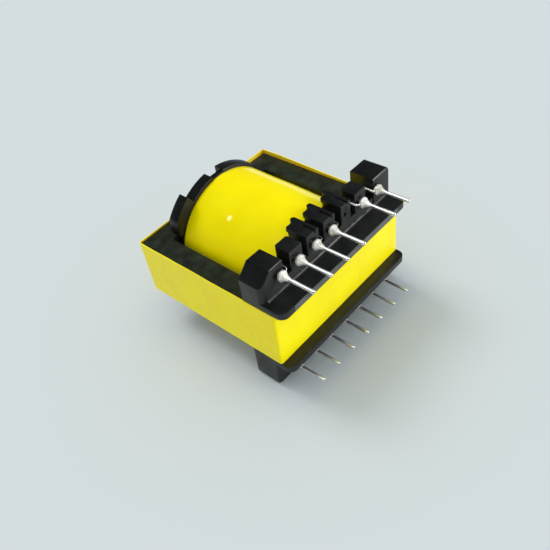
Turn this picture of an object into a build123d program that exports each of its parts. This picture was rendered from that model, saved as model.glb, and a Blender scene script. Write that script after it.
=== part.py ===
"""Ferrite power transformer with round centre legs, a pinned coil former and taped core."""
from build123d import *
import os
from math import cos, radians, sin

# The part is drawn lying on its side, in millimetres.
# X runs along the pin rows, Y along the winding axis with the pins towards -Y, and Z is up.
# While drawing, the origin is the centre of the core. The last section moves it to the resting plane.

# Core of two ferrite halves that meet at y = 0
core_width = 39.8
core_length = 37.8
core_depth = 12.7
centre_leg_diameter = 12.7
outer_leg_width = 5.1
yoke_thickness = 5.0
centre_leg_gap = 1.0
core_corner_radius = 0.5
ferrite_edge_radius = 0.25

# Polyester tape round the core
core_tape_thickness = 0.2
core_tape_proud = 0.5
tape_corner_ease = 0.1

# Coil former: tube and flanges
tube_clearance = 0.25
tube_wall = 1.0
flange_thickness = 1.2
flange_end_clearance = 0.2
flange_side_clearance = 0.3

# Windings, from the tube outwards. Each share is of the room that the tape leaves for copper.
primary_inner_share = 0.25
secondary_share = 0.195
third_secondary_share = 0.16
auxiliary_share = 0.06
primary_outer_share = 0.14
insulation_thickness = 0.12
outer_tape_thickness = 0.2
layer_clearance = 0.02
winding_end_clearance = 0.1
flange_rim_height = 0.2

# Collars of the far flange that hook over the yoke
collar_height = 0.7
collar_overhang = 1.1
collar_notch_width = 3.2
collar_notch_shift = -0.4
collar_notch_depth = 2.0
key_height = 2.1
key_start_angle = 123.5
key_flank = 13.8

# Pins, seven places in each of two rows
pin_pitch = 5.0
pins_per_row = 7
row_spacing = 25.0
pin_diameter = 0.8
pin_reach = 3.8
pin_embedded = 3.2
pin_fit = 0.02
pin_root_taper = 0.02
pin_tip_chamfer = 0.2
tin_coat_thickness = 0.04
tin_coat_fade = 0.2
empty_upper_places = (5,)

# Pin rails with teeth, wire slots and end blocks
rail_depth = 3.3
tooth_head_thickness = 0.78
slot_floor_drop = 1.9
tooth_width = 3.5
tooth_corner_radius = 0.5
narrow_tooth_number = 5
narrow_tooth_trim = 0.5
short_tooth_back = 0.3
long_tooth_back = 1.9
long_tooth_lobe = 0.9
long_teeth_each_side = 1
lobe_width = 1.2
wire_groove_width = 0.4
wire_groove_depth = 0.6
wire_groove_length = 3.0
former_overhang = 0.1
left_block_inset = 1.25
right_block_inset = 0.7
end_block_length = 5.5
end_block_edge_radius = 0.3
first_block_chamfer = 2.9
first_block_radius = 1.2
plain_block_rounding = 1.1
plain_block_radius = 0.5
plain_block_step = 0.25

# Board shelves in front of the rails
shelf_thickness = 1.5
shelf_reach = 2.4
shelf_corner_radius = 1.7
rail_foot_height = 0.5
rail_foot_depth = 0.4
rail_foot_radius = 0.15

# Leads and solder
lead_diameter = 0.5
lead_side_gap = 0.2
lead_rise = 0.6
lead_standoff = 0.7
lead_bend_radius = 0.4
lead_end_gap = 0.1
outer_lead_angle = 40.0
outer_lead_foot_inset = 0.3
outer_lead_climb = 1.4
lead_notch_width = 1.0
solder_start = 0.3
solder_radius = 1.2
solder_length = 2.3
solder_back_share = 0.8
solder_widest_share = 0.33
solder_tip_wall = 0.12

# Places worked out from the sizes above
window_half_width = core_width / 2 - outer_leg_width
window_half_length = core_length / 2 - yoke_thickness
tape_half_width = core_depth / 2 + core_tape_proud
former_width = core_width + 2 * former_overhang
tube_inner_radius = centre_leg_diameter / 2 + tube_clearance
tube_outer_radius = tube_inner_radius + tube_wall
flange_outer_y = window_half_length - flange_end_clearance
flange_inner_y = flange_outer_y - flange_thickness
flange_radius = window_half_width - flange_side_clearance
drum_radius = flange_radius - flange_rim_height
collar_radius = drum_radius + collar_height
winding_half_length = flange_inner_y - winding_end_clearance
shelf_front_y = -(core_length / 2 + core_tape_thickness + shelf_reach)
rail_front_y = -(flange_outer_y + rail_depth)
head_floor_z = drum_radius + layer_clearance
rail_top_z = head_floor_z + tooth_head_thickness
slot_floor_z = row_spacing / 2 - slot_floor_drop
pin_tip_y = shelf_front_y - pin_reach
pin_root_y = rail_front_y + pin_embedded
first_pin_x = -pin_pitch * (pins_per_row - 1) / 2
left_block_inner_x = first_pin_x + left_block_inset
right_block_inner_x = -first_pin_x - right_block_inset
solder_back_y = rail_front_y - solder_start
solder_end_y = solder_back_y - solder_length
outer_lead_foot_radius = drum_radius - outer_lead_foot_inset
outer_lead_foot_x = outer_lead_foot_radius * cos(radians(outer_lead_angle))
outer_lead_foot_z = outer_lead_foot_radius * sin(radians(outer_lead_angle))

# Windings from the tube outwards: name, share of the copper room. Insulation lies between each two.
winding_shares = [
    ("primary_winding_inner", primary_inner_share),
    ("secondary_winding_1", secondary_share),
    ("secondary_winding_2", secondary_share),
    ("secondary_winding_3", third_secondary_share),
    ("auxiliary_winding", auxiliary_share),
    ("primary_winding_outer", primary_outer_share),
]
insulation_room = (len(winding_shares) - 1) * insulation_thickness + outer_tape_thickness
clearance_room = 2 * len(winding_shares) * layer_clearance
copper_room = drum_radius - tube_outer_radius - insulation_room - clearance_room


def slab(x_low, x_high, y_low, y_high, z_low, z_high):
    """Box between two values on each axis."""
    middle = ((x_low + x_high) / 2, (y_low + y_high) / 2, (z_low + z_high) / 2)
    return Pos(*middle) * Box(x_high - x_low, y_high - y_low, z_high - z_low)


def rod(radius, y_low, y_high, x=0.0, z=0.0):
    """Round bar along Y."""
    return Pos(x, (y_low + y_high) / 2, z) * Rot(90, 0, 0) * Cylinder(radius, y_high - y_low)


def ring(inner_radius, outer_radius, y_low, y_high):
    """Round sleeve along Y about the winding axis."""
    return rod(outer_radius, y_low, y_high) - rod(inner_radius, y_low, y_high)


def core_half(side):
    """One ferrite half: yoke, two outer legs and the shorter round centre leg."""
    outer = core_length / 2
    body = slab(-core_width / 2, core_width / 2, 0, outer, -core_depth / 2, core_depth / 2)
    corners = body.edges().filter_by(Axis.Z).sort_by(Axis.Y)[-2:]
    body = fillet(corners, core_corner_radius)
    window = slab(-window_half_width, window_half_width, 0, window_half_length, -core_depth, core_depth)
    body = body - window
    outer_x = core_width / 2 - ferrite_edge_radius
    mouths = body.edges().filter_by(Axis.Y).filter_by(lambda edge: abs(edge.center().X) < outer_x)
    body = fillet(mouths, ferrite_edge_radius)
    centre_leg = rod(centre_leg_diameter / 2, centre_leg_gap / 2, outer - yoke_thickness / 2)
    body = body + centre_leg
    return body if side > 0 else body.mirror(Plane.XZ)


def core_tape():
    """Closed band of tape round the four sides of the core, a little wider than the ferrite."""
    inner = RectangleRounded(core_width, core_length, core_corner_radius - tape_corner_ease)
    growth = 2 * core_tape_thickness
    outer_radius = core_corner_radius - tape_corner_ease + core_tape_thickness
    outer = RectangleRounded(core_width + growth, core_length + growth, outer_radius)
    return Pos(0, 0, -tape_half_width) * extrude(outer - inner, 2 * tape_half_width)


def winding_layers():
    """Concentric windings and the tape between them, from the tube to the outer wrap."""
    layers = {}
    inner = tube_outer_radius + layer_clearance
    for place, (name, share) in enumerate(winding_shares, start=1):
        is_last = place == len(winding_shares)
        outer = inner + share * copper_room
        layers[name] = ring(inner, outer, -winding_half_length, winding_half_length)
        tape_name = "winding_outer_tape" if is_last else f"insulation_tape_{place}"
        tape_thickness = outer_tape_thickness if is_last else insulation_thickness
        tape_inner = outer + layer_clearance
        tape_outer = tape_inner + tape_thickness
        tape = ring(tape_inner, tape_outer, -winding_half_length, winding_half_length)
        if is_last:
            rims = tape.edges().filter_by(GeomType.CIRCLE).sort_by(SortBy.RADIUS)[-2:]
            tape = fillet(rims, outer_tape_thickness / 2)
        layers[tape_name] = tape
        inner = tape_outer + layer_clearance
    return layers


def upper_collar():
    """Upper half of the far collar: thick arc over the yoke, with a wire notch and a corner key."""
    reach = 2 * collar_radius
    far_y = window_half_length + collar_overhang
    arc = rod(collar_radius, flange_inner_y, far_y)
    key_radius = collar_radius + key_height
    key = rod(key_radius, flange_inner_y, far_y)
    start = (reach * cos(radians(key_start_angle)), reach * sin(radians(key_start_angle)))
    key_region = Polyline((0, 0), start, (-reach, reach), (-reach, 0), close=True)
    key_wedge = extrude(Plane.XZ * make_face(key_region), -far_y)
    key = key & key_wedge & slab(-key_flank, 0, 0, reach, 0, reach)
    collar = (arc + key) & slab(-reach, reach, flange_inner_y, far_y, tape_half_width, reach)
    notch_left = collar_notch_shift - collar_notch_width / 2
    notch_right = collar_notch_shift + collar_notch_width / 2
    notch_floor = collar_radius - collar_notch_depth
    return collar - slab(notch_left, notch_right, 0, reach, notch_floor, reach)


def block_blank(inner_x, front_y):
    """Square blank of an end block on the right side of a rail."""
    block_back = rail_front_y + end_block_length
    return slab(inner_x, former_width / 2, front_y, block_back, tape_half_width, rail_top_z)


def outer_top_edge(block):
    """Edge of a right-hand block that is highest and farthest out."""
    return block.edges().filter_by(Axis.Y).sort_by(lambda edge: edge.center().X + edge.center().Z)[-1]


def outer_front_edge(block):
    """Upright edge of a right-hand block that is farthest out and nearest the pins."""
    return block.edges().filter_by(Axis.Z).sort_by(lambda edge: edge.center().X - edge.center().Y)[-1]


def first_block():
    """End block at pin 1, with its outer top corner cut off to mark the pin."""
    block = block_blank(-left_block_inner_x, rail_front_y)
    block = chamfer(outer_top_edge(block), first_block_chamfer)
    block = fillet(outer_front_edge(block), first_block_radius)
    top_face = block.faces().sort_by(Axis.Z)[-1]
    block = fillet(top_face.edges().filter_by(Axis.X), end_block_edge_radius)
    return block.mirror(Plane.YZ)


def plain_block(side):
    """End block with a rounded top corner, which stands a little in front of the rail."""
    inner_x = right_block_inner_x if side > 0 else -left_block_inner_x
    block = block_blank(inner_x, rail_front_y - plain_block_step)
    block = fillet(outer_top_edge(block), plain_block_rounding)
    block = fillet(outer_front_edge(block), plain_block_radius)
    return block if side > 0 else block.mirror(Plane.YZ)


def left_tooth_reach(number):
    """How far a tooth reaches to the left of its pin. One tooth is trimmed on that side."""
    trim = narrow_tooth_trim if number == narrow_tooth_number else 0
    return tooth_width / 2 - trim


def tooth(number):
    """Tooth that carries one pin, with lobes at its back and, on the long teeth, a wire groove."""
    middle = first_pin_x + (number - 1) * pin_pitch
    left = middle - left_tooth_reach(number)
    right = middle + tooth_width / 2
    middle_number = (pins_per_row + 1) // 2
    if abs(number - middle_number) > long_teeth_each_side:
        back = -flange_outer_y + short_tooth_back
        body = slab(left, right, rail_front_y, back, slot_floor_z, rail_top_z)
        return fillet(body.edges().filter_by(Axis.Z).sort_by(Axis.Y)[-2:], tooth_corner_radius)
    root = slab(left, right, rail_front_y, -flange_inner_y, slot_floor_z, rail_top_z)
    groove_left = right - lobe_width
    head_back = -flange_outer_y + long_tooth_back
    head = slab(left, groove_left, rail_front_y, head_back, head_floor_z, rail_top_z)
    head = fillet(head.edges().filter_by(Axis.Z).sort_by(Axis.Y)[-2:], tooth_corner_radius)
    lobe_back = head_back + long_tooth_lobe
    lobe = slab(groove_left, right, rail_front_y, lobe_back, head_floor_z, rail_top_z)
    lobe = fillet(lobe.edges().filter_by(Axis.Z).sort_by(Axis.Y)[-2:], tooth_corner_radius)
    groove = slab(
        groove_left, groove_left + wire_groove_width,
        rail_front_y, rail_front_y + wire_groove_length, rail_top_z - wire_groove_depth, rail_top_z,
    )
    return root + head + lobe - groove


def upper_rail(left_block, holes):
    """Upper pin rail with its shelf, teeth, end blocks and the flange sector that carries it."""
    half = former_width / 2
    behind_y = -flange_outer_y
    base = slab(-half, half, rail_front_y, behind_y, tape_half_width, slot_floor_z)
    corner = base.edges().filter_by(Axis.Z).sort_by(Axis.Y)[:2]
    base = fillet(corner, first_block_radius)
    shelf_top = tape_half_width + shelf_thickness
    shelf = slab(-half, half, shelf_front_y, behind_y, tape_half_width, shelf_top)
    shelf = fillet(shelf.edges().filter_by(Axis.Z).sort_by(Axis.Y)[:2], shelf_corner_radius)
    foot_top = shelf_top + rail_foot_height
    foot_half = half - first_block_radius
    foot_front = rail_front_y - rail_foot_depth
    foot = slab(-foot_half, foot_half, foot_front, behind_y, tape_half_width, foot_top)
    crest = foot.edges().filter_by(Axis.X).sort_by(lambda edge: edge.center().Z - edge.center().Y)[-1]
    foot = fillet(crest, rail_foot_radius)
    rail = base + shelf + foot
    rail = rail + left_block + plain_block(1)
    for number in range(2, pins_per_row):
        rail = rail + tooth(number)
    sector = rod(flange_radius, behind_y, -flange_inner_y)
    rail = rail + (sector & slab(-half, half, -half, 0, 0, half))
    for left, right in slot_sides():
        rail = rail - slab(left, right, rail_front_y, 0, slot_floor_z, 2 * rail_top_z)
    notch_half = lead_notch_width / 2
    notch_floor = outer_lead_foot_z - notch_half
    notch = slab(-notch_half, notch_half, behind_y, -flange_inner_y, notch_floor, slot_floor_z)
    for side in (-1, 1):
        rail = rail - Pos(side * outer_lead_foot_x, 0, 0) * notch
    for number in holes:
        x = first_pin_x + (number - 1) * pin_pitch
        rail = rail - rod(pin_diameter / 2 + pin_fit, shelf_front_y, pin_root_y, x, row_spacing / 2)
    return rail


def slot_sides():
    """Left and right side of each wire slot between teeth and end blocks."""
    slots = [(left_block_inner_x, first_pin_x + pin_pitch - left_tooth_reach(2))]
    for number in range(2, pins_per_row - 1):
        x = first_pin_x + (number - 1) * pin_pitch
        slots.append((x + tooth_width / 2, x + pin_pitch - left_tooth_reach(number + 1)))
    slots.append((-first_pin_x - pin_pitch + tooth_width / 2, right_block_inner_x))
    return slots


def bobbin():
    """Coil former, one moulding: tube, two flanges, two collars and two pin rails."""
    all_pins = range(1, pins_per_row + 1)
    former = rod(tube_outer_radius, -flange_outer_y, flange_outer_y)
    former = former + rod(flange_radius, flange_inner_y, flange_outer_y)
    former = former + upper_collar() + upper_collar().mirror(Plane.XY)
    former = former + upper_rail(first_block(), all_pins)
    former = former + upper_rail(plain_block(-1), all_pins).mirror(Plane.XY)
    bore = rod(tube_inner_radius, -core_length, core_length)
    return former - bore


def pin(number, row):
    """Round pin with a slightly tapered root in its hole and a thicker coat of tin on its free end."""
    x = first_pin_x + (number - 1) * pin_pitch
    z = row * row_spacing / 2
    bare_radius = pin_diameter / 2
    coated_radius = bare_radius + tin_coat_thickness
    coat_start = solder_end_y - tin_coat_fade
    shank_length = pin_root_y - solder_end_y
    shank = Rot(90, 0, 0) * Cone(bare_radius - pin_root_taper, bare_radius, shank_length)
    shank = Pos(x, solder_end_y + shank_length / 2, z) * shank
    fade = Rot(90, 0, 0) * Cone(bare_radius, coated_radius, tin_coat_fade)
    fade = Pos(x, coat_start + tin_coat_fade / 2, z) * fade
    free_end = rod(coated_radius, pin_tip_y, coat_start, x, z)
    tip = free_end.edges().filter_by(GeomType.CIRCLE).sort_by(Axis.Y)[0]
    free_end = chamfer(tip, pin_tip_chamfer)
    return shank + fade + free_end


def solder_joint(number, row):
    """Solder round the wrapped lead: a rounded head near the rail that tapers along the pin."""
    x = first_pin_x + (number - 1) * pin_pitch
    bore = pin_diameter / 2 + pin_fit
    back_corner = (solder_back_share * solder_radius, 0)
    widest = (solder_radius, -solder_widest_share * solder_radius)
    tip_corner = (bore + solder_tip_wall, -solder_length)
    outwards = (1, -1 / 2)
    along_pin = (0, -1)
    with BuildPart() as joint:
        with BuildSketch(Plane.XY):
            with BuildLine():
                Line((bore, 0), back_corner)
                Spline(back_corner, widest, tip_corner, tangents=(outwards, along_pin))
                Line(tip_corner, (bore, -solder_length))
                Line((bore, -solder_length), (bore, 0))
            make_face()
        revolve(axis=Axis.Y)
    return Pos(x, solder_back_y, row * row_spacing / 2) * joint.part


def lead(number, row):
    """Lead wire from the end of the winding, through its slot in the rail, to the solder on its pin."""
    pin_x = first_pin_x + (number - 1) * pin_pitch
    middle_number = (pins_per_row + 1) // 2
    slots = slot_sides()
    side = 1 if number <= middle_number else -1
    wall_x = slots[number - 1][0] if side > 0 else slots[number - 2][1]
    if number == pins_per_row:
        wall_x = -left_block_inner_x
    x = wall_x + side * (lead_side_gap + lead_diameter / 2)
    run_z = row_spacing / 2 + lead_rise
    front_y = rail_front_y - lead_standoff
    end = (pin_x + side * (solder_radius + lead_end_gap), front_y, row_spacing / 2)
    route = [(x, -winding_half_length, run_z), (x, front_y, run_z), end]
    if number in (1, pins_per_row):
        foot_x = -side * outer_lead_foot_x
        foot_z = outer_lead_foot_z
        behind_y = -(flange_inner_y + flange_outer_y) / 2
        climb = [(foot_x, -winding_half_length, foot_z), (foot_x, behind_y, foot_z)]
        climb.append((foot_x, behind_y, foot_z + outer_lead_climb))
        climb.append((x, behind_y, run_z))
        route = climb + route[1:]
    path = FilletPolyline(*route, radius=lead_bend_radius)
    section = Plane(origin=path @ 0, z_dir=path % 0) * Circle(lead_diameter / 2)
    wire = sweep(section, path=path)
    return wire if row > 0 else wire.mirror(Plane.XY)


if __name__ == "__main__":
    os.makedirs("parts", exist_ok=True)
    parts = {"bobbin": bobbin()}
    parts["core_half_pin_side"] = core_half(-1)
    parts["core_half_far_side"] = core_half(1)
    parts["core_tape"] = core_tape()
    parts.update(winding_layers())
    for row, row_name in ((1, "upper"), (-1, "lower")):
        for number in range(1, pins_per_row + 1):
            if row > 0 and number in empty_upper_places:
                continue
            parts[f"pin_{row_name}_{number}"] = pin(number, row)
            parts[f"solder_{row_name}_{number}"] = solder_joint(number, row)
            parts[f"lead_{row_name}_{number}"] = lead(number, row)
    centre_y = (pin_tip_y + core_length / 2 + core_tape_thickness) / 2
    for name, shape in parts.items():
        export_step(Pos(0, -centre_y, rail_top_z) * shape, f"parts/{name}.step")
        print(name, round(shape.volume, 2))
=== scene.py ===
# %% [markdown]
# # A ferrite transformer with a taped core
#
# The real object is a small power transformer that lies on its side. Two ferrite halves close round
# a black coil former, yellow polyester tape holds them together, and the winding shows as a yellow
# drum in the window of the core. Two rows of tinned pins leave the former towards the circuit board.
#
# The solids come from the construction model and are loaded first. They fix the places and the main
# sizes: each new piece is drawn where its solid is. Only soft or small forms are added, such as waves
# in the tape and dents in the solder, and their sizes were compared with the photograph.

# %% Load the construction model
import bpy
from math import cos, exp, pi, radians, sin
from mathutils import Matrix, Vector


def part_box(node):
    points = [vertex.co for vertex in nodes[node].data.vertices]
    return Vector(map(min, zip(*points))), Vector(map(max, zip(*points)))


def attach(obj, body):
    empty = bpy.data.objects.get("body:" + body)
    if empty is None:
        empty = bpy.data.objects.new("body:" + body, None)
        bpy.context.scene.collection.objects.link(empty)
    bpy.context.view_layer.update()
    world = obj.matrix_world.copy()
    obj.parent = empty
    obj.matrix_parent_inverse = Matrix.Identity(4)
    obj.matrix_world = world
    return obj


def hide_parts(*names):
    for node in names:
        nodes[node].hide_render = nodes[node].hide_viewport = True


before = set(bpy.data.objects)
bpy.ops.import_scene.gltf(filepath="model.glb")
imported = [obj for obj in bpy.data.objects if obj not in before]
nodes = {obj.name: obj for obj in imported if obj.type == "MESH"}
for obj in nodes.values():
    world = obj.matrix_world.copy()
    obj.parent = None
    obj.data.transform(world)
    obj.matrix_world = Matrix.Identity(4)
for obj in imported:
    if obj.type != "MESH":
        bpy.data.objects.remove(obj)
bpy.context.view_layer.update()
print("construction nodes:", len(nodes))

# %% [markdown]
# ## Sizes
#
# All lengths below are in metres, as Blender counts them. The main ones are read from the boxes of
# the solids, so that they follow the construction model. Those that the solids don't give are named.

# %% Read the sizes of the main solids
MM = 0.001
tape_low, tape_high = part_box("core_tape")
drum_low, drum_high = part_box("winding_outer_tape")
pin_low, pin_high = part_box("pin_upper_1")
solder_low, solder_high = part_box("solder_upper_1")
drum_radius = (drum_high.x - drum_low.x) / 2
axis_z = (drum_high.z + drum_low.z) / 2
pin_axis_x = (pin_low.x + pin_high.x) / 2
pin_axis_z = (pin_low.z + pin_high.z) / 2
print("drum radius in mm:", round(drum_radius / MM, 2), "axis height:", round(axis_z / MM, 2))

# %% [markdown]
# ## Small helpers
#
# Most operators work on whatever is selected. These helpers leave just one piece selected, pick its
# edges or faces by where they are, and apply a modifier at once, as one would by hand.

# %% Helpers that select
def deselect_all():
    """Leaves nothing selected."""
    bpy.ops.object.select_all(action="DESELECT")


def make_active(piece):
    """Leaves only this piece selected and active."""
    deselect_all()
    piece.select_set(True)
    bpy.context.view_layer.objects.active = piece


def pick(piece, kind, test):
    """Opens the piece for editing with only the edges or faces selected that pass the test."""
    make_active(piece)
    bpy.ops.object.mode_set(mode="EDIT")
    bpy.ops.mesh.select_mode(type=kind)
    bpy.ops.mesh.select_all(action="DESELECT")
    bpy.ops.object.mode_set(mode="OBJECT")
    mesh = piece.data
    if kind == "FACE":
        for face in mesh.polygons:
            face.select = test(face.center, face.normal)
    else:
        for edge in mesh.edges:
            one, other = [mesh.vertices[place].co for place in edge.vertices]
            edge.select = test(one, other)
    bpy.ops.object.mode_set(mode="EDIT")


def leave_edit():
    """Back to object mode."""
    bpy.ops.object.mode_set(mode="OBJECT")


# %% Helpers that change a piece
def apply_modifier(piece, kind, **settings):
    """Adds a modifier with these settings and applies it."""
    make_active(piece)
    modifier = piece.modifiers.new(kind.lower(), kind)
    for name, value in settings.items():
        setattr(modifier, name, value)
    bpy.ops.object.modifier_apply(modifier=modifier.name)


def settle(piece):
    """Moves the object's own place and turn into its mesh, so that the object sits at the origin."""
    make_active(piece)
    bpy.ops.object.transform_apply(location=True, rotation=True, scale=True)


def smooth(piece, degrees):
    """Shades the piece smooth, but keeps the edges that turn by more than these degrees."""
    make_active(piece)
    bpy.ops.object.shade_smooth_by_angle(angle=radians(degrees))


# %% Helpers that copy and finish pieces
def finish_piece(piece, material, node):
    """Gives the piece its first material, lets it ride on the part and stand for its solid."""
    piece.data.materials.clear()
    piece.data.materials.append(material)
    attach(piece, "root")
    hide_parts(node)


def own_copy(piece, name):
    """Copy of a finished model with a mesh of its own."""
    twin = bpy.data.objects.new(name, piece.data.copy())
    bpy.context.scene.collection.objects.link(twin)
    return twin


merge_reach = 0.002 * MM
flat_angle = radians(0.6)


def solid_copy(node, name):
    """Copy of a construction solid, with its loose triangles merged into one skin."""
    twin = own_copy(nodes[node], name)
    make_active(twin)
    bpy.ops.object.mode_set(mode="EDIT")
    bpy.ops.mesh.select_all(action="SELECT")
    bpy.ops.mesh.remove_doubles(threshold=merge_reach)
    bpy.ops.mesh.dissolve_limited(angle_limit=flat_angle)
    leave_edit()
    return twin


# %% [markdown]
# ## Camera
#
# The photograph was taken from above and from the front left, with the camera slightly rolled. Its
# place was worked out from the corners of the core, whose sizes are known. A picture 550 pixels wide
# and a focal length of 625.4 pixels give the lens.

# %% Place the camera
camera_data = bpy.data.cameras.new("camera")
camera_data.sensor_width = 36.0
focal_pixels = 625.38
picture_pixels = 550
camera_data.lens = focal_pixels * camera_data.sensor_width / picture_pixels
camera_data.clip_start = 0.005
camera_data.clip_end = 10.0
camera = bpy.data.objects.new("camera", camera_data)
bpy.context.scene.collection.objects.link(camera)
right_way = Vector((0.64922, -0.75032, -0.12464))
up_way = Vector((0.58204, 0.38460, 0.71646))
back_way = Vector((-0.48964, -0.53768, 0.68641))
turn = Matrix((right_way, up_way, back_way)).transposed()
camera_place = Vector((-0.07036, -0.07367, 0.10449))
camera.matrix_world = Matrix.Translation(camera_place) @ turn.to_4x4()
bpy.context.scene.camera = camera
print("lens in mm:", round(camera_data.lens, 2))

# %% [markdown]
# ## Studio
#
# The floor is pale and slightly blue. A sun-like lamp behind the object throws the soft shadow towards
# the pins, and a square lamp at the front right lights the yoke face. The square lamp would throw a
# shadow of its own, so it leaves out the floor. Glossy faces see a dimmer room than the floor does,
# because the black parts of the photograph mirror hardly anything.

# %% Helpers for materials
toe_end = 0.04045
toe_slope = 12.92
curve_shift = 0.055
curve_power = 2.4


def new_material(name):
    """Material with an empty node tree, its Principled shader and its output."""
    material = bpy.data.materials.new(name)
    material.use_nodes = True
    tree = material.node_tree
    tree.nodes.clear()
    output = tree.nodes.new("ShaderNodeOutputMaterial")
    shader = tree.nodes.new("ShaderNodeBsdfPrincipled")
    tree.links.new(shader.outputs["BSDF"], output.inputs["Surface"])
    return material, tree, shader


def linear(red, green, blue):
    """Colour that looks like these 0 to 255 screen values, as the shaders count it."""
    shares = [value / 255 for value in (red, green, blue)]
    toned = []
    for share in shares:
        if share <= toe_end:
            toned.append(share / toe_slope)
        else:
            toned.append(((share + curve_shift) / (1 + curve_shift)) ** curve_power)
    return (*toned, 1.0)


# %% Floor and background
floor_size = 3.0
bpy.ops.mesh.primitive_plane_add(size=floor_size, location=(0, 0, 0))
floor = bpy.context.object
floor.name = "floor"
floor_material, _, floor_shader = new_material("pale paper")
floor_shader.inputs["Base Color"].default_value = linear(211, 218, 220)
floor_shader.inputs["Roughness"].default_value = 0.9
floor_shader.inputs["Specular IOR Level"].default_value = 0.1
floor.data.materials.append(floor_material)
print("floor size in metres:", floor_size)

# %% World
world = bpy.data.worlds.new("studio air")
bpy.context.scene.world = world
world.use_nodes = True
world_tree = world.node_tree
world_tree.nodes.clear()
world_output = world_tree.nodes.new("ShaderNodeOutputWorld")
air = world_tree.nodes.new("ShaderNodeBackground")
air.inputs["Color"].default_value = linear(246, 250, 253)
air.inputs["Strength"].default_value = 0.82
dark_room = world_tree.nodes.new("ShaderNodeBackground")
dark_room.inputs["Color"].default_value = linear(222, 230, 235)
dark_room.inputs["Strength"].default_value = 0.12
ray_kind = world_tree.nodes.new("ShaderNodeLightPath")
room = world_tree.nodes.new("ShaderNodeMixShader")
world_tree.links.new(ray_kind.outputs["Is Glossy Ray"], room.inputs["Fac"])
world_tree.links.new(air.outputs["Background"], room.inputs[1])
world_tree.links.new(dark_room.outputs["Background"], room.inputs[2])
world_tree.links.new(room.outputs["Shader"], world_output.inputs["Surface"])
print("strength of the air:", round(air.inputs["Strength"].default_value, 2))

# %% Helpers for lamps
def add_lamp(name, place, aim, size, power):
    """Square area lamp at a place, turned to its aim. The power is in watts."""
    data = bpy.data.lights.new(name, "AREA")
    data.shape = "SQUARE"
    data.size = size
    data.energy = power
    lamp = bpy.data.objects.new(name, data)
    bpy.context.scene.collection.objects.link(lamp)
    lamp.location = place
    lamp.rotation_euler = (Vector(aim) - Vector(place)).to_track_quat("-Z", "Y").to_euler()
    return lamp


def light_only(lamp, pieces, name):
    """Lets a lamp light only these pieces, and only in what they mirror."""
    lamp.visible_diffuse = False
    lit = bpy.data.collections.new(name)
    lamp.light_linking.receiver_collection = lit
    for piece in pieces:
        lit.objects.link(piece)


# %% Place the two main lamps
centre = Vector((0, 0, 0.015))
way_to_back_lamp = Vector((-0.01, 0.28, 0.36))
front_lamp_place = centre + Vector((0.26, -0.42, 0.16))
back_light = bpy.data.lights.new("back_lamp", "SUN")
back_light.energy = 1.05
back_light.color = (1.0, 0.985, 0.95)
back_light.angle = radians(24)
back_lamp = bpy.data.objects.new("back_lamp", back_light)
bpy.context.scene.collection.objects.link(back_lamp)
back_lamp.rotation_euler = way_to_back_lamp.to_track_quat("Z", "Y").to_euler()
back_lamp.visible_glossy = False
front_lamp = add_lamp("front_lamp", front_lamp_place, centre, size=0.30, power=1.55)
not_floor = bpy.data.collections.new("lit by the front lamp")
front_lamp.light_linking.receiver_collection = not_floor
not_floor.objects.link(floor)
for linked in not_floor.collection_objects:
    linked.light_linking.link_state = "EXCLUDE"
bpy.context.scene.view_settings.view_transform = "Standard"
print("lamps of the studio:", [back_lamp.name, front_lamp.name])

# %% [markdown]
# ## Shared surface effects
#
# Two effects come back in most materials, so each is a node group. The first mixes two colours and two
# roughness values with soft clouds. The second gives a fine grain over slow waves as a bump.

# %% Helper for node groups
def new_group(name, inputs, outputs):
    """Node group with these sockets: name, type and value of each input, name and type of each output."""
    group = bpy.data.node_groups.new(name, "ShaderNodeTree")
    for socket_name, kind, value in inputs:
        socket = group.interface.new_socket(name=socket_name, in_out="INPUT", socket_type=kind)
        socket.default_value = value
    for socket_name, kind in outputs:
        group.interface.new_socket(name=socket_name, in_out="OUTPUT", socket_type=kind)
    start = group.nodes.new("NodeGroupInput")
    end = group.nodes.new("NodeGroupOutput")
    return group, start, end


# %% Soft clouds
def clouds_group():
    """Two colours and two roughness values, mixed by soft clouds in object space."""
    inputs = [
        ("Scale", "NodeSocketFloat", 200.0),
        ("Colour A", "NodeSocketColor", (0.5, 0.5, 0.5, 1)),
        ("Colour B", "NodeSocketColor", (0.6, 0.6, 0.6, 1)),
        ("Roughness A", "NodeSocketFloat", 0.3),
        ("Roughness B", "NodeSocketFloat", 0.5),
    ]
    outputs = [("Color", "NodeSocketColor"), ("Roughness", "NodeSocketFloat")]
    group, start, end = new_group("soft clouds", inputs, outputs)
    place = group.nodes.new("ShaderNodeTexCoord")
    noise = group.nodes.new("ShaderNodeTexNoise")
    noise.inputs["Detail"].default_value = 4.0
    sharpen = group.nodes.new("ShaderNodeMapRange")
    sharpen.inputs["From Min"].default_value = 0.35
    sharpen.inputs["From Max"].default_value = 0.65
    colours = group.nodes.new("ShaderNodeMix")
    colours.data_type = "RGBA"
    rough = group.nodes.new("ShaderNodeMix")
    link = group.links.new
    link(place.outputs["Object"], noise.inputs["Vector"])
    link(start.outputs["Scale"], noise.inputs["Scale"])
    link(noise.outputs["Fac"], sharpen.inputs["Value"])
    link(sharpen.outputs["Result"], colours.inputs["Factor"])
    link(start.outputs["Colour A"], colours.inputs["A"])
    link(start.outputs["Colour B"], colours.inputs["B"])
    link(sharpen.outputs["Result"], rough.inputs["Factor"])
    link(start.outputs["Roughness A"], rough.inputs["A"])
    link(start.outputs["Roughness B"], rough.inputs["B"])
    link(colours.outputs["Result"], end.inputs["Color"])
    link(rough.outputs["Result"], end.inputs["Roughness"])
    return group


clouds = clouds_group()
cloud_sockets = clouds.interface.items_tree
print("outputs of the clouds:", [socket.name for socket in cloud_sockets if socket.in_out == "OUTPUT"])

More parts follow.
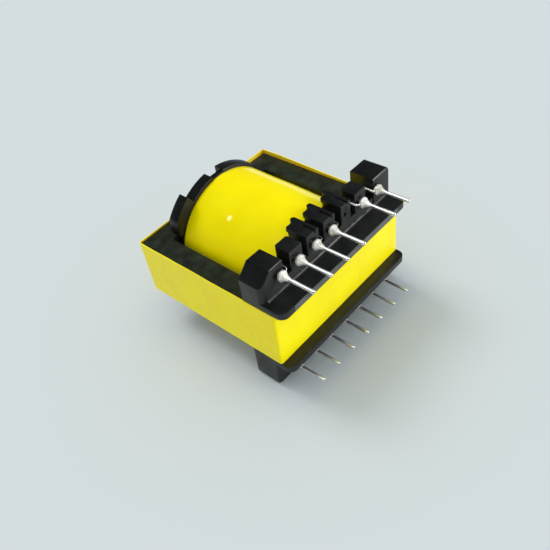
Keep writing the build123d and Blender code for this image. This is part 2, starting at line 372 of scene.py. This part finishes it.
# %% Grain and waves
def grain_group():
    """Fine grain over slow waves, as a normal."""
    inputs = [
        ("Fine Scale", "NodeSocketFloat", 4000.0),
        ("Fine Strength", "NodeSocketFloat", 0.1),
        ("Wave Scale", "NodeSocketFloat", 300.0),
        ("Wave Strength", "NodeSocketFloat", 0.1),
    ]
    group, start, end = new_group("grain and waves", inputs, [("Normal", "NodeSocketVector")])
    place = group.nodes.new("ShaderNodeTexCoord")
    fine = group.nodes.new("ShaderNodeTexNoise")
    fine.inputs["Detail"].default_value = 3.0
    waves = group.nodes.new("ShaderNodeTexNoise")
    waves.inputs["Detail"].default_value = 1.0
    wave_bump = group.nodes.new("ShaderNodeBump")
    wave_bump.inputs["Distance"].default_value = 0.3 * MM
    fine_bump = group.nodes.new("ShaderNodeBump")
    fine_bump.inputs["Distance"].default_value = 0.03 * MM
    link = group.links.new
    link(place.outputs["Object"], fine.inputs["Vector"])
    link(place.outputs["Object"], waves.inputs["Vector"])
    link(start.outputs["Fine Scale"], fine.inputs["Scale"])
    link(start.outputs["Wave Scale"], waves.inputs["Scale"])
    link(waves.outputs["Fac"], wave_bump.inputs["Height"])
    link(start.outputs["Wave Strength"], wave_bump.inputs["Strength"])
    link(fine.outputs["Fac"], fine_bump.inputs["Height"])
    link(start.outputs["Fine Strength"], fine_bump.inputs["Strength"])
    link(wave_bump.outputs["Normal"], fine_bump.inputs["Normal"])
    link(fine_bump.outputs["Normal"], end.inputs["Normal"])
    return group


grain = grain_group()
print("node groups:", [group.name for group in bpy.data.node_groups])

# %% Helpers that place the groups in a material
def place_group(tree, group, **values):
    """Puts a node group in a material, with its own values. Underscores stand for spaces."""
    node = tree.nodes.new("ShaderNodeGroup")
    node.node_tree = group
    for name, value in values.items():
        node.inputs[name.replace("_", " ")].default_value = value
    return node


def surface(name, clouds_values, grain_values, **shader_values):
    """Material of clouds for colour and roughness and grain for the normal."""
    material, tree, shader = new_material(name)
    cloud = place_group(tree, clouds, **clouds_values)
    bumps = place_group(tree, grain, **grain_values)
    tree.links.new(cloud.outputs["Roughness"], shader.inputs["Roughness"])
    tree.links.new(bumps.outputs["Normal"], shader.inputs["Normal"])
    tree.links.new(cloud.outputs["Color"], shader.inputs["Base Color"])
    for socket_name, value in shader_values.items():
        shader.inputs[socket_name.replace("_", " ")].default_value = value
    return material


# %% [markdown]
# ## Materials
#
# Black phenolic is glossy with a faint moulding haze. Its edges get a light grey painted highlight, and the
# front of the upper shelf a painted reflection of the floor. Ferrite is fired and ground, so it is dull and
# grey-green. The tape is a yellow film with a glossy face and small waves, and amber on its inner side,
# painted brighter to make up for its shade.
# Tin is bright, but the solder has a creamy bloom of flux. The turns of the copper windings could be
# modelled, but they lie under the tape, so a wave in the bump stands for them.

# %% Phenolic
phenolic = surface(
    "black phenolic",
    dict(
        Scale=260, Colour_A=linear(11, 12, 12), Colour_B=linear(18, 20, 20),
        Roughness_A=0.36, Roughness_B=0.52,
    ),
    dict(Fine_Scale=5200, Fine_Strength=0.12, Wave_Scale=420, Wave_Strength=0.05),
)
# Light grey for the bevelled edges and the foot line: a painted highlight for the light that round edges
# catch.
edge_highlight_phenolic = surface(
    "phenolic edge with painted highlight",
    dict(
        Scale=900, Colour_A=linear(62, 65, 63), Colour_B=linear(112, 115, 108),
        Roughness_A=0.25, Roughness_B=0.4,
    ),
    dict(Fine_Scale=5200, Fine_Strength=0.1, Wave_Scale=420, Wave_Strength=0.05),
)
# Lighter grey for the middle of the upper shelf's front: a painted reflection of the bright floor.
floor_reflection_phenolic = surface(
    "phenolic front with painted reflection",
    dict(
        Scale=500, Colour_A=linear(62, 66, 68), Colour_B=linear(88, 92, 94),
        Roughness_A=0.35, Roughness_B=0.5,
    ),
    dict(Fine_Scale=5200, Fine_Strength=0.1, Wave_Scale=420, Wave_Strength=0.05),
)
print("phenolic finishes:", [phenolic.name, edge_highlight_phenolic.name, floor_reflection_phenolic.name])

# %% Ferrite
ferrite = surface(
    "ground ferrite",
    dict(
        Scale=420, Colour_A=linear(25, 31, 22), Colour_B=linear(43, 52, 36),
        Roughness_A=0.42, Roughness_B=0.6,
    ),
    dict(Fine_Scale=7000, Fine_Strength=0.2, Wave_Scale=900, Wave_Strength=0.02),
)
print("core finish:", ferrite.name)

# %% Tape
yellow_film = surface(
    "yellow polyester film",
    dict(
        Scale=120, Colour_A=linear(247, 228, 0), Colour_B=linear(251, 237, 4),
        Roughness_A=0.24, Roughness_B=0.34,
    ),
    dict(Fine_Scale=2500, Fine_Strength=0.03, Wave_Scale=240, Wave_Strength=0.06),
    Specular_IOR_Level=0.2,
)
drum_film = surface(
    "yellow film over wire",
    dict(
        Scale=90, Colour_A=linear(240, 220, 0), Colour_B=linear(245, 230, 2),
        Roughness_A=0.08, Roughness_B=0.11,
    ),
    dict(Fine_Scale=2500, Fine_Strength=0.02, Wave_Scale=260, Wave_Strength=0.03),
    Specular_IOR_Level=0.25,
)
# Amber for the inner side of the band, painted brighter to make up for the shade it lies in.
amber_film_painted_bright = surface(
    "inner face of the film, painted bright",
    dict(
        Scale=140, Colour_A=linear(252, 206, 34), Colour_B=linear(254, 222, 52),
        Roughness_A=0.35, Roughness_B=0.5,
    ),
    dict(Fine_Scale=2500, Fine_Strength=0.03, Wave_Scale=240, Wave_Strength=0.05),
)
clear_film = surface(
    "clear polyester film",
    dict(
        Scale=200, Colour_A=linear(205, 190, 110), Colour_B=linear(222, 208, 130),
        Roughness_A=0.25, Roughness_B=0.4,
    ),
    dict(Fine_Scale=2500, Fine_Strength=0.03, Wave_Scale=300, Wave_Strength=0.08),
)
print("tape finishes:", [yellow_film.name, drum_film.name, amber_film_painted_bright.name, clear_film.name])

# %% Tin and solder
bright_tin = surface(
    "bright tin",
    dict(
        Scale=420, Colour_A=linear(224, 226, 222), Colour_B=linear(246, 247, 243),
        Roughness_A=0.28, Roughness_B=0.40,
    ),
    dict(Fine_Scale=3000, Fine_Strength=0.03, Wave_Scale=420, Wave_Strength=0.06),
    Metallic=0.92,
)
creamy_solder = surface(
    "solder with flux bloom",
    dict(
        Scale=700, Colour_A=linear(216, 213, 196), Colour_B=linear(250, 249, 240),
        Roughness_A=0.25, Roughness_B=0.4,
    ),
    dict(Fine_Scale=3000, Fine_Strength=0.05, Wave_Scale=900, Wave_Strength=0.12),
    Metallic=0.3,
)
print("metal finishes:", [bright_tin.name, creamy_solder.name])

# %% Enamelled copper
def wound_wire():
    """Enamelled copper with its turns as a wave along the winding axis."""
    material, tree, shader = new_material("enamelled copper")
    cloud = place_group(
        tree, clouds, Scale=300, Colour_A=linear(170, 84, 36), Colour_B=linear(198, 108, 50),
        Roughness_A=0.25, Roughness_B=0.4,
    )
    place = tree.nodes.new("ShaderNodeTexCoord")
    turns = tree.nodes.new("ShaderNodeTexWave")
    turns.bands_direction = "Y"
    turns.inputs["Scale"].default_value = 260.0
    turns.inputs["Distortion"].default_value = 0.6
    bump = tree.nodes.new("ShaderNodeBump")
    bump.inputs["Distance"].default_value = 0.15 * MM
    tree.links.new(place.outputs["Object"], turns.inputs["Vector"])
    tree.links.new(turns.outputs["Fac"], bump.inputs["Height"])
    tree.links.new(bump.outputs["Normal"], shader.inputs["Normal"])
    tree.links.new(cloud.outputs["Color"], shader.inputs["Base Color"])
    tree.links.new(cloud.outputs["Roughness"], shader.inputs["Roughness"])
    shader.inputs["Metallic"].default_value = 0.6
    return material


copper = wound_wire()
print("materials:", len(bpy.data.materials))

# %% [markdown]
# ## Ferrite core and the hidden layers
#
# The two core halves and the layers under the outer tape keep their solids, because a fired block and
# a wound ring have no more shape than that. They only get their finishes. The outermost winding gets a
# mesh of its own further down.

# %% Dress the solids that stay
def dress(node, material):
    """Puts a material in the slots of a construction node."""
    piece = nodes[node]
    piece.data.materials.clear()
    piece.data.materials.append(material)


dressed = 0
for node in nodes:
    if node.startswith("core_half"):
        dress(node, ferrite)
    elif node.startswith("insulation"):
        dress(node, clear_film)
    elif "winding" in node and node != "winding_outer_tape":
        dress(node, copper)
    else:
        continue
    dressed += 1
print("dressed solids:", dressed)

# %% [markdown]
# ## Coil former
#
# The former is one moulding with many small blocks and slots. Its solid already has each of them, but
# with edges as sharp as a drawing. A real moulding has slightly round edges, and they catch the light
# as thin bright lines. So a copy of the solid is merged into one skin and its edges are bevelled. The
# copy gets its three finishes first, because a modifier can only give new faces a finish that is there.
# The bevels, and the line where the foot of the upper rail ends, get the light grey one, a painted highlight.
# So that only the middle of the upper shelf's front gets the painted reflection of the floor, that face is
# cut at both ends.

# %% Round the edges of the former
edge_rounding = 0.10 * MM
former = solid_copy("bobbin", "coil_former")
finish_piece(former, phenolic, "bobbin")
former.data.materials.append(edge_highlight_phenolic)
former.data.materials.append(floor_reflection_phenolic)
# The new bevel faces get slot 1, the light grey painted highlight.
apply_modifier(
    former, "BEVEL", width=edge_rounding, segments=2, limit_method="ANGLE",
    angle_limit=radians(38), use_clamp_overlap=True, miter_outer="MITER_ARC", material=1,
)
smooth(former, degrees=35)
print("former faces:", len(former.data.polygons))

# %% Pick the line with the painted highlight and the front with the painted reflection
facing = 0.9
foot_line_y = -14.3 * MM
foot_line_z = 23.95 * MM
foot_line_reach = 0.25 * MM
shelf_front_y = -18.4 * MM
shelf_front_reach = 0.05 * MM
reflection_half_length = 16.6 * MM


def on_upper_front(middle, normal):
    """True for the front face of the upper shelf."""
    faces_pins = normal.y < -facing
    return middle.z > axis_z and faces_pins and abs(middle.y - shelf_front_y) < shelf_front_reach


def on_highlit_foot_line(middle):
    """True for the edge where the foot of the upper rail ends, which gets a painted highlight."""
    return max(abs(middle.y - foot_line_y), abs(middle.z - foot_line_z)) < foot_line_reach


for side in (-1, 1):
    pick(former, "FACE", on_upper_front)
    bpy.ops.mesh.bisect(plane_co=(side * reflection_half_length, 0, 0), plane_no=(1, 0, 0))
    leave_edit()
# Slot 1 puts a painted highlight on the foot line, and slot 2 a painted reflection of the floor on the
# shelf's front.
for face in former.data.polygons:
    if on_highlit_foot_line(face.center):
        face.material_index = 1
    elif on_upper_front(face.center, face.normal) and abs(face.center.x) < reflection_half_length:
        face.material_index = 2
print("faces with painted highlight:", sum(face.material_index == 1 for face in former.data.polygons))
print("faces with painted reflection:", sum(face.material_index == 2 for face in former.data.polygons))

# %% [markdown]
# ## Tape round the core
#
# The tape is a closed band of thin film, wound two or three times round the four sides of the core.
# It is a little wider than the ferrite, so its rims stand free and aren't quite straight. Four strips
# could be joined at the corners, but a box without its two open sides has no seam, so it is the start.
# Its corners are rounded, and its rims get small waves. Towards the back right the upper rim stands
# higher. Then the film gets its thickness, and the new inner side is amber, painted brighter against its
# shade.

# %% Tests for the edges of the band
level_reach = 0.1 * MM
least_rim_edge = 10 * MM


def in_corner(one, other):
    """True for the edges that stand in the four corners."""
    return abs(one.z - other.z) > MM


def on_rim(one, other):
    """True for the long edges of both rims."""
    return abs(one.z - other.z) < level_reach and (one - other).length > least_rim_edge


# %% Model the tape band
band_corner = 0.5 * MM
deselect_all()
bpy.ops.mesh.primitive_cube_add(size=1.0, location=(tape_low + tape_high) / 2, scale=tape_high - tape_low)
band = bpy.context.object
band.name = "tape_band"
settle(band)
pick(band, "FACE", lambda middle, normal: abs(normal.z) > facing)
bpy.ops.mesh.delete(type="FACE")
leave_edit()
pick(band, "EDGE", in_corner)
bpy.ops.mesh.bevel(offset=band_corner, segments=4, affect="EDGES")
leave_edit()
pick(band, "EDGE", on_rim)
bpy.ops.mesh.subdivide(number_cuts=44)
leave_edit()
print("vertices of the band:", len(band.data.vertices))

# %% Helpers that move vertices
def pushed(piece, name, direction, depth, share_at, **settings):
    """Moves every vertex by its share of the depth. The share depends on the vertex's place."""
    group = piece.vertex_groups.new(name=name)
    for vertex in piece.data.vertices:
        share = share_at(vertex.co)
        if share > 0:
            group.add([vertex.index], share, "REPLACE")
    apply_modifier(
        piece, "DISPLACE", direction=direction, strength=depth, mid_level=0.0, vertex_group=name, **settings
    )


def wavy(piece, name, direction, depth, wave_length, share_at=lambda place: 1.0):
    """Moves the vertices by soft waves, at most by the depth."""
    waves = bpy.data.textures.new(name, "CLOUDS")
    waves.noise_scale = wave_length
    waves.noise_depth = 1
    pushed(piece, name, direction, depth, share_at, texture=waves, texture_coords="LOCAL")


# %% Make the rims uneven and the film thick
film_wall = 0.2 * MM
rim_give = 0.25 * MM
corner_lift = 0.62 * MM
lift_gain = 1.15
middle_z = (tape_low.z + tape_high.z) / 2


def upper_rim(place):
    """1 on the upper rim and 0 on the lower one."""
    return float(place.z > middle_z)


def lower_rim(place):
    """1 on the lower rim and 0 on the upper one."""
    return 1.0 - upper_rim(place)


def back_right(place):
    """Rises along the upper rim, and is full shortly before the back right corner."""
    beside = (place.x - tape_low.x) / (tape_high.x - tape_low.x)
    behind = (place.y - tape_low.y) / (tape_high.y - tape_low.y)
    return upper_rim(place) * min(1.0, beside ** 2 * behind * lift_gain)


wavy(band, "upper rim waves", "Z", -rim_give, wave_length=6 * MM, share_at=upper_rim)
wavy(band, "lower rim waves", "Z", rim_give, wave_length=7 * MM, share_at=lower_rim)
pushed(band, "lifted corner", "Z", corner_lift, back_right)
finish_piece(band, yellow_film, "core_tape")
# The inner side takes slot 1, the amber that is painted brighter against its shade.
band.data.materials.append(amber_film_painted_bright)
apply_modifier(band, "SOLIDIFY", thickness=film_wall, offset=-1.0, material_offset=1)
smooth(band, degrees=40)
print("faces of the inner side:", sum(face.material_index == 1 for face in band.data.polygons))
print("band faces:", len(band.data.polygons))

# %% [markdown]
# ## Tape round the winding
#
# The same film covers the winding as a drum. It is a little narrower near the pins, where fewer turns
# of the last winding lie. The wire under it isn't perfectly even, so it has very shallow hollows, and
# one small lump where a turn of wire crosses another. They could be sculpted, but here each is a depth
# times a share for each vertex, so that its size is known. A cylinder without ends is divided along
# its length, its vertices are moved, and then the film gets its thickness.

# %% Helper for rings
def open_ring(name, radius, sides, cuts):
    """Skin of a ring as long as the drum, divided along its length."""
    deselect_all()
    bpy.ops.mesh.primitive_cylinder_add(
        vertices=sides, radius=radius, depth=drum_high.y - drum_low.y, end_fill_type="NOTHING",
        location=(drum_low + drum_high) / 2, rotation=(pi / 2, 0, 0),
    )
    ring = bpy.context.object
    ring.name = name
    settle(ring)
    pick(ring, "EDGE", lambda one, other: abs(one.y - other.y) > MM)
    bpy.ops.mesh.subdivide(number_cuts=cuts)
    leave_edit()
    return ring


# %% Model the drum
drum_taper = 0.40 * MM
taper_power = 1.5
hollow_depth = 0.10 * MM
drum_rim_rounding = 0.06 * MM
glint_place = Vector((-7.67, 5.85, 26.99)) * MM
lump_size = 1.4 * MM
lump_height = 0.22 * MM
lump_behind_glint = 0.7 * lump_size
lump_middle = glint_place + Vector((0, lump_behind_glint, 0))
least_share = 0.001


def towards_pins(place):
    """Rises from 0 at the back end of the drum to 1 at the end near the pins."""
    share = (drum_high.y - place.y) / (drum_high.y - drum_low.y)
    return min(1.0, max(0.0, share)) ** taper_power


def over_lump(place):
    """1 in the middle of the lump and soon 0 round it."""
    share = exp(-((place - lump_middle).length / lump_size) ** 2)
    return share if share > least_share else 0.0


drum = open_ring("drum_wrap", drum_radius, sides=240, cuts=47)
pushed(drum, "narrow end", "NORMAL", -drum_taper, towards_pins)
wavy(drum, "hollows over the wire", "NORMAL", -hollow_depth, wave_length=7 * MM)
pushed(drum, "crossed wire", "NORMAL", lump_height, over_lump)
apply_modifier(drum, "SOLIDIFY", thickness=film_wall, offset=-1.0)
apply_modifier(
    drum, "BEVEL", width=drum_rim_rounding, segments=2, limit_method="ANGLE", angle_limit=radians(50)
)
smooth(drum, degrees=45)
finish_piece(drum, drum_film, "winding_outer_tape")
print("drum faces:", len(drum.data.polygons))

# %% [markdown]
# A strip of window light glints on the lump. The strip lamp is seen only by the drum. It stands where
# the front slope of the lump mirrors it towards the camera, so that slope is measured first.

# %% Strip lamp for the glint
strip_width = 0.030
strip_length = 0.17
strip_distance = 0.45
strip_radiance = 14.0
glint_reach = 0.45 * MM


def slope_at(place, reach):
    """Mean outward normal of the drum near a place."""
    outwards = Vector((place.x, 0, place.z - axis_z))
    total = Vector((0, 0, 0))
    for vertex in drum.data.vertices:
        if (vertex.co - place).length < reach and vertex.normal.dot(outwards) > 0:
            total += vertex.normal
    return total.normalized()


slope = slope_at(glint_place, glint_reach)
view = (camera.location - glint_place).normalized()
way = (2 * slope.dot(view) * slope - view).normalized()
power = strip_radiance * pi * strip_width * strip_length
strip_lamp = add_lamp("strip_lamp", glint_place + strip_distance * way, glint_place, strip_width, power)
across = Vector((0, 1, 0)).cross(way).normalized()
strip_lamp.rotation_euler = Matrix((across.cross(way), across, way)).transposed().to_euler()
strip_lamp.data.shape = "RECTANGLE"
strip_lamp.data.size_y = strip_length
light_only(strip_lamp, [drum], "lit by the strip lamp")
print("way to the strip lamp:", [round(share, 3) for share in way])

# %% [markdown]
# The winding under the drum has to be narrower near the pins too, so it becomes a sleeve with the same
# taper. Its outer radius leaves room for the film, the hollows and a small clearance.

# %% Model the outer winding
sleeve_clearance = 0.03 * MM
sleeve_wall = 0.3 * MM
sleeve_radius = drum_radius - film_wall - hollow_depth - sleeve_clearance
sleeve = open_ring("outer_winding", sleeve_radius, sides=144, cuts=23)
pushed(sleeve, "narrow end", "NORMAL", -drum_taper, towards_pins)
apply_modifier(sleeve, "SOLIDIFY", thickness=sleeve_wall, offset=-1.0)
smooth(sleeve, degrees=45)
finish_piece(sleeve, copper, "primary_winding_outer")
print("sleeve faces:", len(sleeve.data.polygons))

# %% [markdown]
# ## Pins
#
# Each pin is a straight round wire, dipped in tin after it was wrapped. The dip leaves a thin root, a
# slightly swollen free end and a bead at the tip. A profile could be spun round the axis, but a disc
# that is extruded along the pin, and scaled at each step to its radius, is closed at both ends. The
# steps are counted in mm from the end of the solder, and the last ones from the tip.

# %% Helper that turns a piece along the pin axis
def turned(name, x, z, stations, sides):
    """Closed piece of round sections along -Y. Each station is a place along Y and a radius."""
    deselect_all()
    first_y, first_radius = stations[0]
    bpy.ops.mesh.primitive_circle_add(
        vertices=sides, radius=first_radius, fill_type="NGON", location=(x, first_y, z),
        rotation=(pi / 2, 0, 0),
    )
    piece = bpy.context.object
    piece.name = name
    settle(piece)
    bpy.ops.object.mode_set(mode="EDIT")
    bpy.ops.mesh.select_all(action="SELECT")
    for (past_y, past_radius), (y, radius) in zip(stations, stations[1:]):
        bpy.ops.mesh.extrude_region_move(TRANSFORM_OT_translate={"value": (0, y - past_y, 0)})
        share = radius / past_radius
        bpy.ops.transform.resize(value=(share, 1, share), center_override=(x, y, z))
    bpy.ops.mesh.select_all(action="SELECT")
    bpy.ops.mesh.normals_make_consistent(inside=False)
    leave_edit()
    return piece


# %% Model one pin and copy it to every place
root_radius = 0.37 * MM
past_solder = [(0.2, 0.37), (-0.3, 0.38), (-1.2, 0.395), (-2.2, 0.385), (-3.1, 0.40)]
before_tip = [(1.5, 0.395), (0.8, 0.42), (0.4, 0.435), (0.15, 0.38), (0.03, 0.22), (0, 0.08)]
pin_stations = [(pin_high.y, root_radius)]
pin_stations += [(solder_low.y + along * MM, radius * MM) for along, radius in past_solder]
pin_stations += [(pin_low.y + along * MM, radius * MM) for along, radius in before_tip]
pin_model = turned("pin_model", pin_axis_x, pin_axis_z, pin_stations, sides=24)
smooth(pin_model, degrees=60)


def middle_of(node):
    """Middle of a solid's box."""
    low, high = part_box(node)
    return (low + high) / 2


def copies_of(model, first_node, prefix, piece_prefix, material, turn_step):
    """Copies a model to every solid with this prefix, each turned by one step more, in radians."""
    home = middle_of(first_node)
    made = []
    for count, node in enumerate(sorted(name for name in nodes if name.startswith(prefix))):
        twin = own_copy(model, node.replace(prefix, piece_prefix))
        place = middle_of(node)
        turned_there = Matrix.Translation(place) @ Matrix.Rotation(count * turn_step, 4, "Y")
        twin.data.transform(turned_there @ Matrix.Translation(-home))
        finish_piece(twin, material, node)
        made.append(twin)
    bpy.data.objects.remove(model)
    return made


pins = copies_of(
    pin_model, first_node="pin_upper_1", prefix="pin_", piece_prefix="tinned_pin_",
    material=bright_tin, turn_step=1.1,
)
print("pins:", len(pins))

# %% [markdown]
# ## Solder
#
# The end of each lead is wrapped round its pin, close to the rail, and dipped in solder. The solder is
# a bell: widest near the rail, over the turns of wire, and thin where the pin goes on. It is turned in
# the same way, from shares of its length and radius, and gets soft dents.

# %% Model one solder joint and copy it to every pin
solder_radius = (solder_high.x - solder_low.x) / 2
dent_depth = 0.10 * MM
solder_shares = [
    (0.0, 0.66), (0.03, 0.80), (0.08, 0.91), (0.14, 0.96), (0.20, 0.99), (0.26, 0.98), (0.31, 1.0),
    (0.36, 0.95), (0.41, 0.85), (0.46, 0.76), (0.52, 0.69), (0.59, 0.61), (0.67, 0.53), (0.77, 0.46),
    (0.88, 0.41), (1.0, 0.36),
]
solder_length = solder_high.y - solder_low.y
solder_stations = [
    (solder_high.y - along * solder_length, share * solder_radius) for along, share in solder_shares
]
solder_model = turned("solder_model", pin_axis_x, pin_axis_z, solder_stations, sides=36)
wavy(solder_model, "dents in the solder", "NORMAL", -dent_depth, wave_length=0.9 * MM)
smooth(solder_model, degrees=70)
joints = copies_of(
    solder_model, first_node="solder_upper_1", prefix="solder_", piece_prefix="solder_joint_",
    material=creamy_solder, turn_step=0.9,
)
print("solder joints:", len(joints))

# %% [markdown]
# ## Leads
#
# Each lead comes from the winding through a slot in the rail and turns down to its pin. Thin windings
# end in one wire, and the heavy ones in a twisted strand. A bent tube is hard to twist afterwards, so a
# smooth curve follows the solid's route first. Its points then carry one or three strands, which wind
# round the route, and each strand becomes a tube. Three of the upper leads hang lower behind their
# teeth than their solids do.

# %% Helper for a smooth route
def route_points(points):
    """Points along a smooth curve through the space of the route's corners."""
    curve = bpy.data.curves.new("route", "CURVE")
    curve.dimensions = "3D"
    curve.resolution_u = 8
    spline = curve.splines.new("NURBS")
    spline.points.add(len(points) - 1)
    for target, place in zip(spline.points, points):
        target.co = (*place, 1.0)
    spline.order_u = 3
    spline.use_endpoint_u = True
    holder = bpy.data.objects.new("route", curve)
    bpy.context.scene.collection.objects.link(holder)
    mesh = bpy.data.meshes.new_from_object(holder)
    places = [vertex.co.copy() for vertex in mesh.vertices]
    bpy.data.objects.remove(holder)
    return places


# %% Helper that lays strands along a route
beside_routes = Vector((0.3, 0.2, 1.0))


def stranded(name, points, strands, radius, offset, pitch):
    """Tubes of this radius as one mesh. They wind round the route at an offset, once in each pitch."""
    line = route_points(points)
    curve = bpy.data.curves.new(name, "CURVE")
    curve.dimensions = "3D"
    curve.bevel_depth = radius
    curve.bevel_resolution = 3
    curve.use_fill_caps = True
    for strand in range(strands):
        spline = curve.splines.new("POLY")
        spline.points.add(len(line) - 1)
        travelled = 0.0
        for step, place in enumerate(line):
            before = line[max(step - 1, 0)]
            after = line[min(step + 1, len(line) - 1)]
            ahead = (after - before).normalized()
            if step:
                travelled += (place - before).length
            side = ahead.cross(beside_routes).normalized()
            over = side.cross(ahead)
            angle = 2 * pi * (travelled / pitch + strand / strands)
            shifted = place + offset * (cos(angle) * side + sin(angle) * over)
            spline.points[step].co = (*shifted, 1.0)
    piece = bpy.data.objects.new(name, curve)
    bpy.context.scene.collection.objects.link(piece)
    make_active(piece)
    bpy.ops.object.convert(target="MESH")
    piece = bpy.context.object
    smooth(piece, degrees=60)
    return piece


# %% Sizes of the leads
solid_radius = 0.25 * MM
single_radius = 0.14 * MM
strand_radius = 0.115 * MM
strand_offset = 0.12 * MM
strand_pitch = 1.6 * MM
lead_drops = {"lead_upper_2": 1.6 * MM, "lead_upper_3": 0.7 * MM, "lead_upper_4": 0.7 * MM}
loop_inset = 0.7 * MM
loop_rise = 1.4 * MM
slot_beside_pin = 1.7 * MM
turn_inset = 0.1 * MM
turn_length = 1.2 * MM
end_sink = 0.1 * MM
end_above_pin = 0.2 * MM
middle_place = 4
last_place = 7
first_heavy_place = 6
print("thickness of a single wire in mm:", round(2 * single_radius / MM, 2))

# %% Model the leads
leads_made = []
for node in sorted(name for name in nodes if name.startswith("lead_")):
    row, number = node.split("_")[1], int(node.split("_")[2])
    low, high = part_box(node)
    pin_middle = middle_of(node.replace("lead", "pin"))
    up = 1 if row == "upper" else -1
    from_right = 1 if number <= middle_place else -1
    edge_x = (high.x if from_right > 0 else low.x) - from_right * solid_radius
    run_z = (high.z if up > 0 else low.z) - up * solid_radius
    run_z -= lead_drops.get(node, 0.0)
    front_y = low.y + solid_radius
    turn_y = front_y + turn_inset
    end_x = pin_middle.x + from_right * (solder_radius - end_sink)
    if number in (1, last_place):
        slot_x = pin_middle.x + from_right * slot_beside_pin
        foot_z = (low.z if up > 0 else high.z) + up * solid_radius
        behind_y = high.y - loop_inset
        points = [
            (edge_x, high.y, foot_z), (edge_x, behind_y, foot_z), (edge_x, behind_y, foot_z + up * loop_rise),
            (slot_x, behind_y, run_z),
        ]
    else:
        slot_x = edge_x
        points = [(slot_x, high.y, run_z)]
    points += [
        (slot_x, turn_y + turn_length, run_z), (slot_x, turn_y, run_z),
        (end_x, front_y, pin_middle.z + up * end_above_pin),
    ]
    if number >= first_heavy_place:
        name = node.replace("lead", "lead_strand")
        piece = stranded(
            name, points, strands=3, radius=strand_radius, offset=strand_offset, pitch=strand_pitch
        )
    else:
        name = node.replace("lead", "lead_wire")
        piece = stranded(
            name, points, strands=1, radius=single_radius, offset=0.0, pitch=strand_pitch
        )
    finish_piece(piece, bright_tin, node)
    leads_made.append(piece)
print("leads:", len(leads_made))

# %% [markdown]
# Bare tin is a mirror and shows what is round it. A wide lamp overhead is seen only by the pins, the
# solder and the heavy leads, and makes them pale from above, as a bright ceiling does. A smaller lamp
# is seen only by the former and catches its upper front edges.

# %% Lamps for the tinned pieces and for the edges of the former
tin_lamp_place = centre + Vector((-0.10, 0.12, 0.50))
edge_lamp_place = centre + Vector((0.245, -0.345, 0.27))
heavy_leads = [piece for piece in leads_made if "strand" in piece.name]
tinned = pins + joints + heavy_leads
tin_lamp = add_lamp("tin_lamp", tin_lamp_place, centre, size=0.70, power=3.3)
light_only(tin_lamp, tinned, "lit by the tin lamp")
edge_lamp = add_lamp("edge_lamp", edge_lamp_place, centre, size=0.16, power=1.6)
light_only(edge_lamp, [former], "lit by the edge lamp")
print("pieces that the tin lamp lights:", len(tinned))
